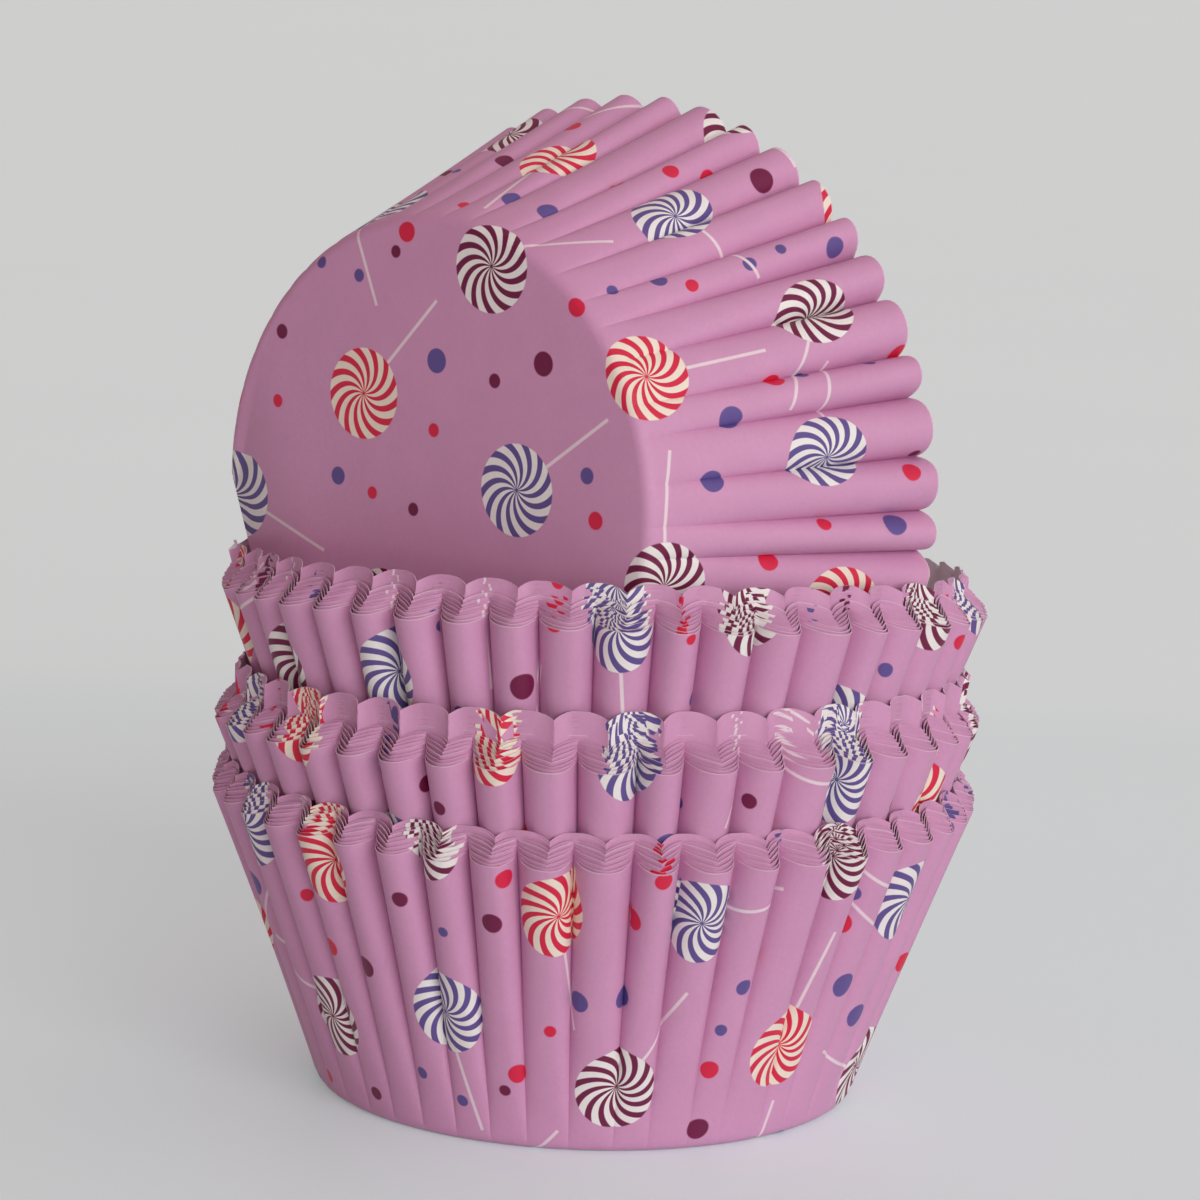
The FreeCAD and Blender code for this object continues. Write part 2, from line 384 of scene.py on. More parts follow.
@dataclass(frozen=True)
class LinerPrint:
    """The whole print of a sheet: pink ground, swirl sweets in three colours, and dots."""

    spacing: float = 19.4
    sweets: SweetsPrint = SweetsPrint()
    dots: DotsPrint = DotsPrint()
    inks: Inks = Inks()

    def group(self) -> bpy.types.NodeTree:
        """Wire the print's colour.

        Returns:
            The node group, with Color and Ink, the mask of everything but the ground.
        """
        board, source, target = new_group("liner_print", {"Vector": "Vector"},
                                          {"Color": "Color", "Ink": "Float"})
        flat = board.vector("SCALE", source["Vector"])
        flat.node.inputs["Scale"].default_value = 1.0 / MM
        across, along, _ = board.split(flat)
        turned = board.join(along, across, 0.0)
        width, height = self.spacing * math.sqrt(3), self.spacing * 1.5
        ink = self.inks
        colour = ink.ground
        cover = 0.0

        dots = self.dots.group()
        layouts = ((-0.75, -5 / 12, 3.0, 2.3, 1.0), (-0.25, -7 / 12, 11.0, 2.3, 1.0),
                   (-0.75, -0.25, 23.0, 1.2, 0.9), (-0.5, -0.5, 37.0, 1.2, 0.75))
        for aside, up, seed, wander, share in layouts:
            moved = board.vector("ADD", turned, (aside * self.spacing, up * width, 0.0))
            node = board.group(dots, Vector=moved, Cell_Width=self.spacing, Row_Height=width / 2,
                               Seed=seed, Wander=wander, Share=share)
            pick = node.outputs["Pick"]
            some = board.blend(board.math("GREATER_THAN", pick, 0.4), ink.crimson, ink.plum)
            dye = board.blend(board.math("GREATER_THAN", pick, 0.66), some, ink.violet)
            colour = board.blend(node.outputs["Dot"], colour, dye)
            cover = board.math("MAXIMUM", cover, node.outputs["Dot"])

        sweets = self.sweets.group()
        families = ((ink.crimson, ink.cream, (0.0, 0.0), 5.0), (ink.plum, ink.white, (0.5, 1 / 3), 17.0),
                    (ink.violet, ink.white, (0.0, 2 / 3), 29.0))
        for dye, pale, (aside, up), seed in families:
            moved = board.vector("ADD", flat, (aside * width, up * height, 0.0))
            node = board.group(sweets, Vector=moved, Cell_Width=width, Row_Height=height, Seed=seed, Wander=1.3)
            colour = board.blend(node.outputs["Stick"], colour, ink.stick)
            stripes = board.blend(node.outputs["Stripe"], pale, dye)
            colour = board.blend(node.outputs["Disc"], colour, stripes)
            cover = board.math("MAXIMUM", cover, node.outputs["Disc"])
        board.feed(target["Color"], colour)
        board.feed(target["Ink"], cover)
        return board.tree


def fibre_group() -> bpy.types.NodeTree:
    """Wire the fibres and the faint clouding of thin greaseproof paper.

    Returns:
        The node group, with Tone, about 1, and Height for a Bump node.
    """
    board, source, target = new_group("paper_fibre", {"Vector": "Vector"}, {"Tone": "Float", "Height": "Float"})
    fine = board.add("TexNoise", noise_dimensions="3D")
    board.feed(fine.inputs["Vector"], source["Vector"])
    fine.inputs["Scale"].default_value = 2600.0
    fine.inputs["Detail"].default_value = 3.0
    cloud = board.add("TexNoise", noise_dimensions="3D")
    board.feed(cloud.inputs["Vector"], source["Vector"])
    cloud.inputs["Scale"].default_value = 240.0
    cloud.inputs["Detail"].default_value = 2.0
    grain = board.math("MULTIPLY_ADD", fine.outputs["Fac"], 0.1, 0.95)
    clouds = board.math("MULTIPLY_ADD", cloud.outputs["Fac"], 0.1, 0.95)
    board.feed(target["Tone"], board.math("MULTIPLY", grain, clouds))
    board.feed(target["Height"], board.math("MULTIPLY_ADD", cloud.outputs["Fac"], 2.0, fine.outputs["Fac"]))
    return board.tree


class PaperFace(Enum):
    """The faces of a liner that differ in finish, in the order of its material slots."""

    PRINTED = 0
    PLAIN = 1
    CUT_EDGE = 2


@dataclass(frozen=True)
class PaperFinish:
    """The finish of one face of the paper."""

    name: str
    face: PaperFace
    colour: tuple
    print_share: float
    roughness: float
    bump: float
    core: tuple = srgb(244, 226, 236)
    bare_edge: float = 0.004
    bare_share: float = 0.42
    ragged: float = 0.0016

    def material(self, printed: bpy.types.NodeTree, fibre: bpy.types.NodeTree) -> bpy.types.Material:
        """Build the material.

        Args:
            printed: the print's node group.
            fibre: the fibres' node group.

        Returns:
            The material.
        """
        material = bpy.data.materials.new(self.name)
        material.use_nodes = True
        material.node_tree.nodes.clear()
        board = Board(material.node_tree)
        output = board.add("OutputMaterial")
        shader = board.add("BsdfPrincipled")
        board.feed(output.inputs["Surface"], shader.outputs[0])
        flat = board.add("UVMap", uv_map=UV_NAME).outputs["UV"]
        place = board.add("TexCoord").outputs["Object"]
        grain = board.group(fibre, Vector=place)
        colour = self.colour
        if self.print_share > 0:
            print_node = board.group(printed, Vector=flat)
            colour = board.blend(self.print_share, self.colour, print_node.outputs["Color"])
        reach = board.add("Attribute", attribute_name=REACH_NAME).outputs["Fac"]
        ragged = board.math("MULTIPLY_ADD", grain.outputs["Height"], self.ragged, 1.0 - self.bare_edge)
        bare = board.math("MULTIPLY", board.math("GREATER_THAN", reach, ragged), self.bare_share)
        colour = board.blend(bare, colour, self.core)
        tone = board.vector("SCALE", colour)
        board.feed(tone.node.inputs["Scale"], grain.outputs["Tone"])
        board.feed(shader.inputs["Base Color"], tone)
        rough = board.math("MULTIPLY_ADD", grain.outputs["Tone"], 0.3, self.roughness - 0.3)
        board.feed(shader.inputs["Roughness"], rough)
        shader.inputs["Specular IOR Level"].default_value = 0.42
        bump = board.add("Bump")
        bump.inputs["Strength"].default_value = self.bump
        bump.inputs["Distance"].default_value = 0.03 * MM
        board.feed(bump.inputs["Height"], grain.outputs["Height"])
        board.feed(shader.inputs["Normal"], bump.outputs[0])
        return material


@dataclass
class LinerStock:
    """The paper that every liner is cut from, as materials in the order of the slots."""

    outside: PaperFinish = PaperFinish("printed_greaseproof", PaperFace.PRINTED, srgb(217, 160, 198), 1.0,
                                       0.5, 0.35)
    inside: PaperFinish = PaperFinish("plain_greaseproof", PaperFace.PLAIN, srgb(232, 226, 229), 0.14,
                                      0.58, 0.35)
    edge: PaperFinish = PaperFinish("cut_paper_edge", PaperFace.CUT_EDGE, srgb(224, 190, 209), 0.0,
                                    0.7, 0.2)
    covered: PaperFinish = PaperFinish("covered_greaseproof", PaperFace.PLAIN, srgb(230, 219, 225), 0.0,
                                       0.58, 0.35)
    materials: list = field(default_factory=list)

    def mix(self) -> None:
        """Build the materials."""
        printed, fibre = LinerPrint().group(), fibre_group()
        finishes = (self.outside, self.inside, self.edge, self.covered)
        self.materials = [finish.material(printed, fibre) for finish in finishes]

    def dress(self, piece: bpy.types.Object, covered: bool = False) -> None:
        """Put the materials in a liner's slots.

        Args:
            piece: the liner.
            covered: whether another liner covers its inside.
        """
        for face in PaperFace:
            piece.data.materials[face.value] = self.materials[face.value]
        if covered:
            piece.data.materials[PaperFace.PLAIN.value] = self.materials[-1]


@dataclass(frozen=True)
class LinerForm:
    """Sizes of one liner, in millimetres."""

    base_radius: float = 25.4
    rim_radius: float = 36.05
    wall_height: float = 28.1
    flutes: int = 45
    flute_depth: float = 2.3
    flute_power: float = 2.354
    crease_depth: float = 0.75
    crease_power: float = 9.0
    inner_power: float = 2.2
    inner_crease: float = 0.5
    tight_power: float = 6.0
    crest_lean: float = 1.9
    fold: float = 0.9
    paper: float = 0.06
    wall_paper: float = 0.08

    @property
    def step(self) -> float:
        """Angle of one flute."""
        return 2 * math.pi / self.flutes

    @property
    def slant(self) -> float:
        """Length of the wall along its slope."""
        return math.hypot(self.rim_radius - self.base_radius, self.wall_height)

    def drop(self, share: np.ndarray, depth: np.ndarray, tight: object) -> np.ndarray:
        """Give the flutes' profile at the rim, as a distance inside the circle of the crests.

        Sheets in a nest lie on each other like parallel curves: the outer ones have broad crests and
        creased valleys, the inner ones sharp crests and broad valleys.

        Args:
            share: share of the way from a crest to a valley.
            depth: depth of the valleys.
            tight: 0 for the outermost sheet's profile, 1 for the innermost one's.

        Returns:
            The distances.
        """
        outer = depth * share ** self.flute_power
        outer = outer + self.crease_depth * share ** self.crease_power * (1 - 0.6 * tight)
        inner = (depth + self.inner_crease * self.crease_depth) * (1 - (1 - share) ** self.inner_power)
        return outer * (1 - tight) + inner * tight

    def rim_height(self, radius: object) -> object:
        """Height at which the sheet ends at this radius."""
        return np.sqrt(self.slant ** 2 - (radius - self.base_radius) ** 2)

    def cone_radius(self, height: np.ndarray) -> np.ndarray:
        """Radius of the free cone inside a liner, which its valleys bound.

        Args:
            height: heights above its base.

        Returns:
            The radii.
        """
        foot = (self.base_radius - self.wall_paper) * math.cos(self.step / 2)
        valley = self.rim_radius - self.flute_depth
        return foot + (valley - self.wall_paper - foot) * height / self.rim_height(valley)


@dataclass
class Flutes:
    """The pressed flutes of a nest: every column's angle, rim radius and place on the flat sheet."""

    form: LinerForm
    seed: int
    half_columns: int
    tight: float = 0.0
    push: object = 0.0
    angles: np.ndarray = None
    radii: np.ndarray = None
    free_radii: np.ndarray = None
    heights: np.ndarray = None
    flat_angles: np.ndarray = None
    bows: np.ndarray = None

    def __post_init__(self) -> None:
        """Work out the columns, with the small irregularities of pressed paper."""
        form, half = self.form, self.half_columns
        chance = np.random.default_rng(self.seed)
        valley_shift = chance.uniform(-0.12, 0.12, form.flutes) * form.step
        valley_depth = form.flute_depth * (1 - chance.uniform(0.0, 0.16, form.flutes))
        crest_drop = chance.uniform(0.0, 0.16, form.flutes)
        bow = chance.uniform(-0.22, 0.02, form.flutes)

        crest = np.repeat(np.arange(form.flutes), 2 * half)
        column = np.tile(np.arange(-half, half), form.flutes)
        side = np.where(column < 0, -1.0, 1.0)
        valley = np.where(column < 0, crest - 1, crest) % form.flutes
        part = np.abs(column) / half * math.pi / 2
        share = np.sin(part) * (1 - self.tight) + (1 - np.cos(part)) * self.tight
        self.angles = crest * form.step + side * share * (form.step / 2 + side * valley_shift[valley])
        circle = form.rim_radius - crest_drop[crest] * (1 - share ** 2)
        radii = circle - form.drop(share, valley_depth[valley], self.tight)
        lean = form.crest_lean * self.tight ** 1.5 * (1 - share) ** 1.5
        self.radii = radii - lean + self.push
        self.free_radii = circle - form.drop(share, valley_depth[valley], 0.0)
        self.heights = form.rim_height(radii)
        self.bows = bow[crest] * (1 - share ** 2)

        plan = np.stack([self.radii * np.cos(self.angles), self.radii * np.sin(self.angles)], 1)
        steps = np.linalg.norm(np.roll(plan, -1, 0) - plan, axis=1)
        walked = np.concatenate([[0.0], np.cumsum(steps)[:-1]]) / steps.sum() * 2 * math.pi
        self.flat_angles = walked - np.mean(walked - self.angles)

    def across(self, values: np.ndarray, angle: np.ndarray) -> np.ndarray:
        """Read a value of the columns at any angle.

        Args:
            values: one value for each column.
            angle: the angles at which they are read.

        Returns:
            The values there.
        """
        return np.interp(angle, self.angles, values, period=2 * math.pi)

    def holds(self, points: np.ndarray, margin: float) -> np.ndarray:
        """Tell which points are inside the wall.

        Args:
            points: the points, in the liner's own frame.
            margin: free distance kept outside the wall.

        Returns:
            True for each point inside.
        """
        form = self.form
        share = points[:, 2] / form.rim_height(form.rim_radius - form.flute_depth / 2)
        rim = self.across(self.radii, np.arctan2(points[:, 1], points[:, 0]))
        wall = form.base_radius + share * (rim - form.base_radius)
        inside = np.hypot(points[:, 0], points[:, 1]) < wall + margin
        return inside & (share > -0.05) & (share < 1.02)

    def ring(self, share: float) -> tuple[np.ndarray, np.ndarray]:
        """Give one ring of the wall.

        Args:
            share: share of the way from base to rim.

        Returns:
            The ring's points and their places on the flat sheet, in millimetres.
        """
        form = self.form
        radius = form.base_radius + share * (self.free_radii - form.base_radius)
        radius = radius + self.bows * math.sin(math.pi * share)
        radius = radius + (self.radii - self.free_radii) * share ** form.tight_power
        return self.at(radius, share * self.heights, share, form.base_radius + share * form.slant)

    def fold_ring(self, share: float, first_share: float) -> tuple[np.ndarray, np.ndarray]:
        """Give one ring of the soft fold between base and wall.

        Args:
            share: share of the way round the fold.
            first_share: share of the wall's height at which the fold ends.

        Returns:
            The ring's points and their places on the flat sheet.
        """
        form = self.form
        top, _ = self.ring(first_share)
        radius = np.hypot(top[:, 0], top[:, 1])
        radius = (1 - share) ** 2 * (form.base_radius - form.fold) + 2 * share * (1 - share) * form.base_radius \
            + share ** 2 * radius
        flat = form.base_radius - form.fold + share * (form.fold + first_share * form.slant)
        return self.at(radius, share ** 2 * top[:, 2], share * first_share, flat)

    def at(self, radius: np.ndarray, height: np.ndarray, share: float, flat: float) -> tuple:
        """Place a ring from its radii and heights.

        Args:
            radius: radii of its columns.
            height: heights of its columns.
            share: how far the paper is gathered there.
            flat: the ring's radius on the flat sheet.

        Returns:
            The ring's points and their places on the flat sheet.
        """
        turn = self.angles * (1 - share) + self.flat_angles * share
        points = np.stack([radius * np.cos(self.angles), radius * np.sin(self.angles),
                           np.broadcast_to(height, self.angles.shape)], 1)
        return points, np.stack([flat * np.cos(turn), flat * np.sin(turn)], 1)


@dataclass
class Liner:
    """One liner: a flat base and a fluted wall, pressed from one sheet."""

    form: LinerForm
    flutes: Flutes
    detail: Detail
    press: object = None
    cover: float = 0.0

    def model(self, name: str) -> bpy.types.Object:
        """Model the sheet from a disc whose edge is drawn up ring by ring, and give it its thickness.

        Args:
            name: the piece's name.

        Returns:
            The liner, in millimetres, standing at the origin.
        """
        rings = self.rings()
        columns = len(self.flutes.angles)
        bpy.ops.object.select_all(action="DESELECT")
        bpy.ops.mesh.primitive_circle_add(vertices=columns, radius=self.form.base_radius - self.form.fold,
                                          fill_type="NGON", location=(0, 0, 0))
        piece = bpy.context.object
        piece.name = piece.data.name = name
        bpy.ops.object.mode_set(mode="EDIT")
        bpy.ops.mesh.select_mode(type="EDGE")
        bpy.ops.mesh.select_all(action="SELECT")
        for _ in rings[1:]:
            bpy.ops.mesh.extrude_edges_move(TRANSFORM_OT_translate={"value": (0, 0, 1)})
            bpy.ops.transform.resize(value=(1.02, 1.02, 1), center_override=(0, 0, 0))
        bpy.ops.object.mode_set(mode="OBJECT")
        self.shape(piece, rings)
        bpy.ops.object.mode_set(mode="EDIT")
        bpy.ops.mesh.select_all(action="SELECT")
        bpy.ops.mesh.normals_make_consistent(inside=False)
        bpy.ops.object.mode_set(mode="OBJECT")
        if piece.data.polygons[0].normal.z > 0:
            piece.data.flip_normals()
        self.thicken(piece)
        return piece

    def rings(self) -> list:
        """Give every ring from the base's edge to the rim.

        Returns:
            Pairs of points and places on the flat sheet.
        """
        first = self.detail.rings[0]
        fold_shares = (0.0, 0.25, 0.5, 0.75) if self.detail is Detail.OUTER else (0.0, 0.5)
        rings = [self.flutes.fold_ring(share, first) for share in fold_shares]
        rings += [self.flutes.ring(share) for share in self.detail.rings]
        if self.press is not None:
            rings = [(self.press(points), flat) for points, flat in rings]
        return rings

    def shape(self, piece: bpy.types.Object, rings: list) -> None:
        """Draw the rings to their places and lay out the flat sheet.

        Args:
            piece: the liner, its rings in the order in which they were drawn up.
            rings: pairs of points and places on the flat sheet.
        """
        mesh = piece.data
        count = len(mesh.vertices)
        columns = len(self.flutes.angles)
        places = np.empty(count * 3)
        mesh.vertices.foreach_get("co", places)
        places = places.reshape(-1, 3)
        turns = np.arctan2(places[:, 1], places[:, 0]) / (2 * math.pi) * columns
        column = np.round(turns).astype(int) % columns
        ring = np.arange(count) // columns
        all_points = np.stack([points for points, _ in rings])
        all_flat = np.stack([flat for _, flat in rings])
        mesh.vertices.foreach_set("co", all_points[ring, column].ravel())
        reach = np.hypot(all_flat[..., 0], all_flat[..., 1])[ring, column] / (self.form.base_radius + self.form.slant)
        reach = reach - self.cover
        mesh.attributes.new(REACH_NAME, "FLOAT", "POINT").data.foreach_set("value", reach)
        corners = np.empty(len(mesh.loops), dtype=np.int64)
        mesh.loops.foreach_get("vertex_index", corners)
        layer = mesh.uv_layers[0] if mesh.uv_layers else mesh.uv_layers.new()
        layer.name = UV_NAME
        layer.data.foreach_set("uv", (all_flat[ring, column][corners] * MM).ravel())
        mesh.update()

    def thicken(self, piece: bpy.types.Object) -> None:
        """Give the sheet its thickness inwards, and its faces their slots."""
        for _ in PaperFace:
            piece.data.materials.append(None)
        modifier = piece.modifiers.new("paper", "SOLIDIFY")
        modifier.thickness = self.form.paper
        modifier.offset = -1.0
        modifier.use_rim = True
        modifier.material_offset = PaperFace.PLAIN.value
        modifier.material_offset_rim = PaperFace.CUT_EDGE.value
        bpy.ops.object.modifier_apply(modifier=modifier.name)
        bpy.ops.object.shade_smooth_by_angle(angle=math.radians(62))


@dataclass(frozen=True)
class Trim:
    """How one sheet differs from the next: how it was cut, and how it sits in its nest."""

    off_centre: float
    heading: float
    print_shift: tuple
    print_turn: float
    twist: float

    def apply(self, mesh: bpy.types.Mesh, form: LinerForm) -> None:
        """Shorten the wall where the sheet was cut off centre, and shift its print.

        Args:
            mesh: the liner's own mesh, in millimetres.
            form: its sizes.
        """
        count = len(mesh.vertices)
        places = np.empty(count * 3)
        mesh.vertices.foreach_get("co", places)
        places = places.reshape(-1, 3)
        angle = np.arctan2(places[:, 1], places[:, 0])
        share = np.clip((places[:, 2] / form.wall_height - 0.8) / 0.2, 0.0, 1.0)
        short = self.off_centre * (1 - np.cos(angle - self.heading)) * share ** 2
        run = (form.rim_radius - form.base_radius) / form.slant
        climb = form.wall_height / form.slant
        places[:, 0] -= short * run * np.cos(angle)
        places[:, 1] -= short * run * np.sin(angle)
        places[:, 2] -= short * climb
        mesh.vertices.foreach_set("co", places.ravel())
        layer = mesh.uv_layers[UV_NAME]
        flat = np.empty(len(mesh.loops) * 2)
        layer.data.foreach_get("uv", flat)
        flat = flat.reshape(-1, 2)
        cosine, sine = math.cos(self.print_turn), math.sin(self.print_turn)
        turned = np.stack([flat[:, 0] * cosine - flat[:, 1] * sine, flat[:, 0] * sine + flat[:, 1] * cosine], 1)
        layer.data.foreach_set("uv", (turned + np.array(self.print_shift) * MM).ravel())
        mesh.update()


def leaning(back: float, side: float, turn: float) -> Matrix:
    """Lean away from the viewer and to the right, after a turn about the upright axis.

    Args:
        back: lean away from the viewer, degrees.
        side: lean to the right, degrees.
        turn: turn about the upright axis, degrees.

    Returns:
        The rotation.
    """
    return (Matrix.Rotation(math.radians(side), 4, "Y") @ Matrix.Rotation(math.radians(-back), 4, "X")
            @ Matrix.Rotation(math.radians(turn), 4, "Z"))


def through(place: Matrix, points: np.ndarray) -> np.ndarray:
    """Carry points from one frame to another.

    Args:
        place: the frame they are carried to.
        points: the points.

    Returns:
        The points there.
    """
    matrix = np.array(place)
    return points @ matrix[:3, :3].T + matrix[:3, 3]


def place_piece(piece: bpy.types.Object, place: Matrix) -> None:
    """Set a liner in its place, in metres, with the object left at the origin."""
    piece.data.transform(Matrix.Scale(MM, 4) @ place)
    piece.data.update()


@dataclass
class Nest:
    """One upright nest of liners, standing one in the other."""

    name: NestName
    foot: tuple
    lean_back: float
    lean_side: float
    turn: float
    rise: float
    papers: int
    cad_every: int
    print_place: tuple
    seed: int
    guest: object = None
    form: LinerForm = LinerForm()
    full_climb: float = 2.2
    die_seed: int = 7
    most_push: float = 1.6
    pieces: list = field(default_factory=list)

    def place(self, climb: float) -> Matrix:
        """Place of a liner that sits this far up in the nest."""
        upright = leaning(self.lean_back, self.lean_side, self.turn)
        return Matrix.Translation(self.foot) @ upright @ Matrix.Translation((0, 0, climb))

    def flutes(self, detail: Detail, climb: float = 0.0, push: object = 0.0) -> Flutes:
        """Flutes of the liner that sits this far up in the nest."""
        return Flutes(self.form, self.die_seed, detail.half_columns, min(1.0, climb / self.full_climb), push)

    def holds(self, points: np.ndarray, margin: float) -> np.ndarray:
        """Tell which points of space are inside the outermost liner's wall."""
        return self.flutes(Detail.OUTER).holds(through(self.place(0.0).inverted(), points), margin)

    def push(self) -> np.ndarray:
        """Find how far the liner that stands in this nest pushes out each column of the innermost sheet.

        Returns:
            The distances in millimetres, evened out round the rim.
        """
        flutes = self.flutes(Detail.NESTED, self.rise)
        push = np.zeros(len(flutes.angles))
        for share in (0.88, 0.94, 1.0):
            points, _ = flutes.ring(share)
            radius = np.hypot(points[:, 0], points[:, 1])
            for step in np.arange(0.0, self.most_push, 0.1):
                scale = 1 + step / radius
                moved = np.stack([points[:, 0] * scale, points[:, 1] * scale, points[:, 2]], 1)
                inside = self.guest.holds(through(self.place(self.rise), moved), 0.05)
                push = np.where(inside, np.maximum(push, step + 0.1), push)
        beside = range(-flutes.half_columns, flutes.half_columns + 1)
        push = np.max([np.roll(push, shift) for shift in beside], 0)
        return np.mean([np.roll(push, shift) for shift in beside], 0)

    def build(self, stock: LinerStock) -> None:
        """Model the outermost liner and the liners in it.

        Args:
            stock: the paper they are made of.
        """
        chance = np.random.default_rng(self.seed)
        push = self.push()
        log.info("%s nest: rim pushed out by %.2f mm at most", self.name.value, float(np.max(push)))
        pitch = self.rise / (self.papers - 1)
        for index in range(self.papers):
            detail = Detail.NESTED if index else Detail.OUTER
            flutes = self.flutes(detail, index * pitch, push * index / (self.papers - 1) if index else 0.0)
            cover = chance.uniform(0.0, 0.006) if index else 0.0
            name = f"{self.name.value}_nest_paper_{index + 1:02d}"
            piece = Liner(self.form, flutes, detail, cover=cover).model(name)
            shift = chance.normal(0.0, 0.32, 2)
            x, y, turn = self.print_place
            trim = Trim(chance.uniform(0.0, 0.05) if index else 0.0, chance.uniform(0, 2 * math.pi),
                        (x + shift[0], y + shift[1]), math.radians(turn + chance.normal(0.0, 0.35)),
                        chance.normal(0.0, 0.05))
            trim.apply(piece.data, self.form)
            twist = Matrix.Rotation(math.radians(trim.twist if index else 0.0), 4, "Z")
            loose = 0.0 if index % self.cad_every == 0 else chance.uniform(-0.3, 0.3) * pitch
            place_piece(piece, self.place(index * pitch + loose) @ twist)
            self.finish(piece, index, stock)

    def finish(self, piece: bpy.types.Object, index: int, stock: LinerStock) -> None:
        """Dress a liner and tie it to the frame.

        Args:
            piece: the liner.
            index: its number in the nest, from the outermost.
            stock: the paper it is made of.
        """
        stock.dress(piece, covered=index < self.papers - 1)
        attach(piece, "root")
        if index % self.cad_every == 0:
            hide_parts(f"{self.name.value}_nest_liner_{index // self.cad_every + 1}")
        self.pieces.append(piece)
        log.info("%s: %d faces", piece.name, len(piece.data.polygons))


@dataclass
class TippedLiner:
    """The liner on its side in the top nest, its wall pressed in where the nest holds it."""

    cup: Nest = None
    origin: tuple = (-15.6, -15.0, 57.185)
    heading: float = 50.4
    dip: float = 0.4
    clearance: float = 0.15
    print_place: tuple = (7.0, -4.0, 100.0)
    seed: int = 41
    form: LinerForm = LinerForm()

    def place(self) -> Matrix:
        """Place of the liner, its axis laid down towards its heading."""
        lying = Matrix.Rotation(math.radians(self.heading), 4, "Z") @ Matrix.Rotation(
            math.radians(90 + self.dip), 4, "Y")
        return Matrix.Translation(self.origin) @ lying

    def holds(self, points: np.ndarray, margin: float) -> np.ndarray:
        """Tell which points of space are inside the liner's wall."""
        flutes = Flutes(self.form, self.seed, Detail.OUTER.half_columns)
        return flutes.holds(through(self.place().inverted(), points), margin)

    def pressed(self, points: np.ndarray) -> np.ndarray:
        """Press a ring in where it would cut the liner that holds it.

        Args:
            points: the ring's points.

        Returns:
            The pressed points.
        """
        to_cup = np.array(self.cup.place(self.cup.rise).inverted() @ self.place())

        def free(radius: np.ndarray) -> np.ndarray:
            """Tell which points are inside the cup's free cone at this radius."""
            placed = np.stack([radius * cosine, radius * sine, points[:, 2], np.ones(len(points))], 1)
            local = placed @ to_cup.T
            return np.hypot(local[:, 0], local[:, 1]) <= self.form.cone_radius(local[:, 2]) - self.clearance

        radius = np.hypot(points[:, 0], points[:, 1])
        cosine, sine = points[:, 0] / radius, points[:, 1] / radius
        low, high = radius / 2, radius.copy()
        fits = free(radius)
        for _ in range(16):
            middle = (low + high) / 2
            inside = free(middle)
            low, high = np.where(inside, middle, low), np.where(inside, high, middle)
        radius = np.where(fits, radius, low)
        return np.stack([radius * cosine, radius * sine, points[:, 2]], 1)

    def build(self, stock: LinerStock) -> bpy.types.Object:
        """Model, dress and place the liner.

        Args:
            stock: the paper it is made of.

        Returns:
            The liner.
        """
        flutes = Flutes(self.form, self.seed, Detail.OUTER.half_columns)
        piece = Liner(self.form, flutes, Detail.OUTER, self.pressed).model("tipped_paper")
        x, y, turn = self.print_place
        Trim(0.0, 0.0, (x, y), math.radians(turn), 0.0).apply(piece.data, self.form)
        place_piece(piece, self.place())
        stock.dress(piece)
        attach(piece, "root")
        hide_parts("tipped_liner")
        log.info("%s: %d faces", piece.name, len(piece.data.polygons))
        return piece


@dataclass(frozen=True)
class TableFinish:
    """Pale painted table that fades into the pale wall behind it."""

    table: tuple = srgb(222, 236, 238)
    wall: tuple = srgb(228, 242, 240)
    table_glow: tuple = (0.17, 0.21, 0.203)
    wall_glow: tuple = (0.17, 0.21, 0.21)
    edge: float = 0.188
    softness: float = 0.03

    def material(self) -> bpy.types.Material:
        """Build the material.

        Returns:
            The material.
        """
        material = bpy.data.materials.new("pale_table")
        material.use_nodes = True
        board = Board(material.node_tree)
        shader = material.node_tree.nodes["Principled BSDF"]
        place = board.add("TexCoord").outputs["Object"]
        _, depth, _ = board.split(place)
        share = board.math("MULTIPLY_ADD", depth, 1 / self.softness, 0.5 - self.edge / self.softness)
        share.node.use_clamp = True
        cloud = board.add("TexNoise")
        cloud.inputs["Scale"].default_value = 9.0
        board.feed(cloud.inputs["Vector"], place)
        shade = board.math("MULTIPLY_ADD", cloud.outputs["Fac"], 0.04, 0.98)
        colour = board.vector("SCALE", board.blend(share, self.table, self.wall))
        board.feed(colour.node.inputs["Scale"], shade)
        board.feed(shader.inputs["Base Color"], colour)
        shader.inputs["Roughness"].default_value = 0.5
        shader.inputs["Specular IOR Level"].default_value = 0.22
        rays = board.add("LightPath")
        seen = board.math("MAXIMUM", rays.outputs["Is Camera Ray"],
                          board.math("MAXIMUM", rays.outputs["Is Glossy Ray"], rays.outputs["Is Transmission Ray"]))
        glow = board.vector("SCALE", board.blend(share, self.table_glow + (1.0,), self.wall_glow + (1.0,)))
        board.feed(glow.node.inputs["Scale"], seen)
        board.feed(shader.inputs["Emission Color"], glow)
        shader.inputs["Emission Strength"].default_value = 1.0
        return material


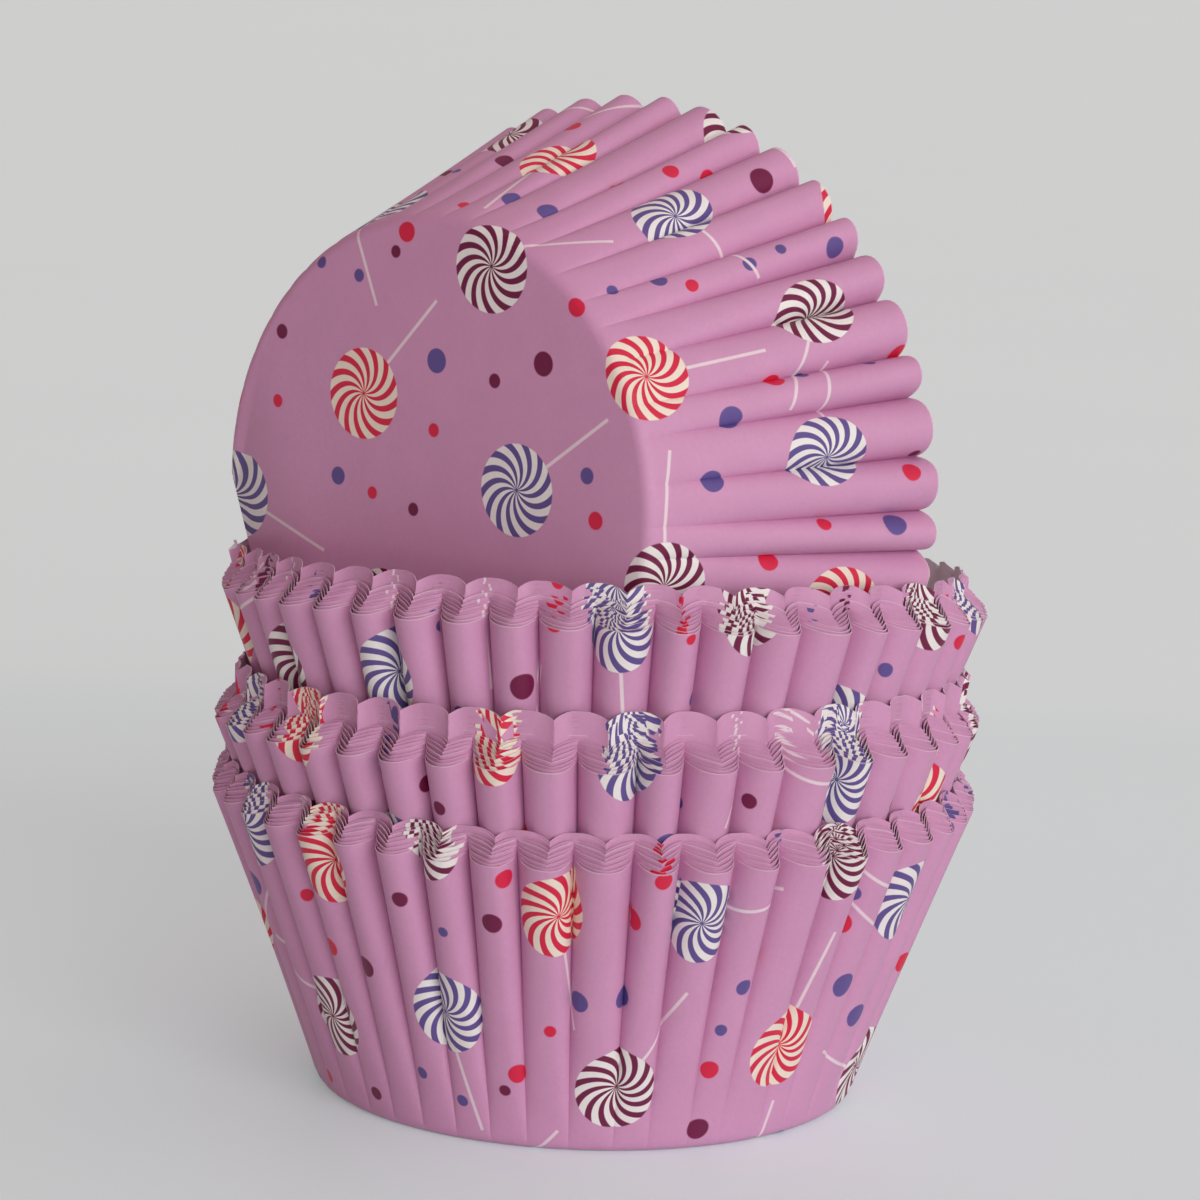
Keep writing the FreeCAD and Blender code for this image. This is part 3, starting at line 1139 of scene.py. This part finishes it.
@dataclass
class Studio:
    """Table, daylight and camera."""

    target: tuple = (0.0, 0.0, 40.0)
    distance: float = 400.46
    elevation: float = 10.39
    roll: float = 2.0
    focal_pixels: float = 4257.0
    frame_pixels: float = 1200.0
    target_pixel: tuple = (597.7, 663.1)
    ambient: tuple = (0.12, 0.012, 0.012)
    right_lobe: tuple = (1.0, 0.0, 0.3)
    right_sky: tuple = (0.37, 0.38, 0.39)
    front_lobe: tuple = (0.0, -1.0, 0.4)
    front_sky: tuple = (0.06, 0.06, 0.06)
    back_lobe: tuple = (0.1, 1.0, 0.1)
    back_sky: tuple = (0.36, 0.36, 0.36)
    windows: tuple = (("low_window", 24.0, 11.0, 1.95, 50.0),)

    def build(self) -> None:
        """Set up the camera, the table and the light."""
        self.camera()
        self.table()
        self.light()

    def camera(self) -> None:
        """Aim the camera as the photograph was taken."""
        climb, roll = math.radians(self.elevation), math.radians(self.roll)
        ahead = Vector((0, math.cos(climb), -math.sin(climb)))
        right, up = Vector((1, 0, 0)), Vector((0, math.sin(climb), math.cos(climb)))
        right, up = right * math.cos(roll) + up * math.sin(roll), up * math.cos(roll) - right * math.sin(roll)
        eye = Vector(self.target) - ahead * self.distance
        centre = self.frame_pixels / 2
        aim = ahead * self.focal_pixels + right * (centre - self.target_pixel[0]) \
            + up * (self.target_pixel[1] - centre)
        aim.normalize()
        side = aim.cross(up).normalized()
        top = side.cross(aim)
        rotation = Matrix((side, top, -aim)).transposed().to_4x4()
        bpy.ops.object.camera_add()
        camera = bpy.context.object
        camera.name = "camera"
        camera.data.sensor_width = 36.0
        camera.data.lens = self.focal_pixels / self.frame_pixels * 36.0
        camera.data.clip_start, camera.data.clip_end = 0.01, 50.0
        camera.matrix_world = Matrix.Translation(eye * MM) @ rotation
        bpy.context.scene.camera = camera

    def table(self) -> None:
        """Lay the table, which runs on as the wall."""
        bpy.ops.object.select_all(action="DESELECT")
        bpy.ops.mesh.primitive_plane_add(size=24.0, location=(0, 0, 0))
        table = bpy.context.object
        table.name = "table"
        table.data.materials.append(TableFinish().material())

    def light(self) -> None:
        """Light the stack with an even sky and soft daylight from the right."""
        world = bpy.data.worlds.new("daylight")
        bpy.context.scene.world = world
        world.use_nodes = True
        board = Board(world.node_tree)
        back = world.node_tree.nodes["Background"]
        toward = board.add("TexCoord").outputs["Generated"]
        colour = self.ambient
        for lobe, tint in ((self.right_lobe, self.right_sky), (self.front_lobe, self.front_sky),
                           (self.back_lobe, self.back_sky)):
            facing = board.vector("DOT_PRODUCT", toward, tuple(Vector(lobe).normalized())).node.outputs["Value"]
            share = board.math("POWER", board.math("MULTIPLY_ADD", facing, 0.5, 0.5), 2.0)
            part = board.vector("SCALE", tint)
            board.feed(part.node.inputs["Scale"], share)
            colour = board.vector("ADD", part, colour)
        board.feed(back.inputs["Color"], colour)
        for name, heading, height, strength, width in self.windows:
            bpy.ops.object.light_add(type="SUN")
            lamp = bpy.context.object
            lamp.name = name
            lamp.data.energy = strength
            lamp.data.angle = math.radians(width)
            azimuth, climb = math.radians(heading), math.radians(height)
            toward = Vector((math.sin(azimuth) * math.cos(climb), -math.cos(azimuth) * math.cos(climb),
                             math.sin(climb)))
            lamp.rotation_mode = "QUATERNION"
            lamp.rotation_quaternion = toward.to_track_quat("Z", "Y")


def main() -> None:
    """Build the stack and its setting."""
    logging.basicConfig(level=logging.INFO, format="%(message)s")
    scene = bpy.context.scene
    scene.view_settings.view_transform = "Standard"
    Studio().build()
    stock = LinerStock()
    stock.mix()
    nests = (
        Nest(NestName.LOWER, (0.0, 0.0, 0.0), 0.0, 0.0, 0.0, 2.4, 9, 4, (3.0, 5.0, 20.0), 7),
        Nest(NestName.MIDDLE, (0.527, -1.513, 7.231), 2.5, -0.9, 0.0, 4.3, 16, 3, (-6.0, 2.0, 151.0), 19),
        Nest(NestName.UPPER, (0.304, -1.608, 18.191), 4.7, 0.3, 1.1, 3.2, 13, 3, (4.0, -9.0, 265.0), 31),
    )
    tipped = TippedLiner(nests[2])
    for nest, guest in zip(nests, (nests[1], nests[2], tipped)):
        nest.guest = guest
    for nest in nests:
        nest.build(stock)
        log.info("%s nest: %d liners", nest.name.value, len(nest.pieces))
    tipped.build(stock)


if __name__ == "__main__":
    main()
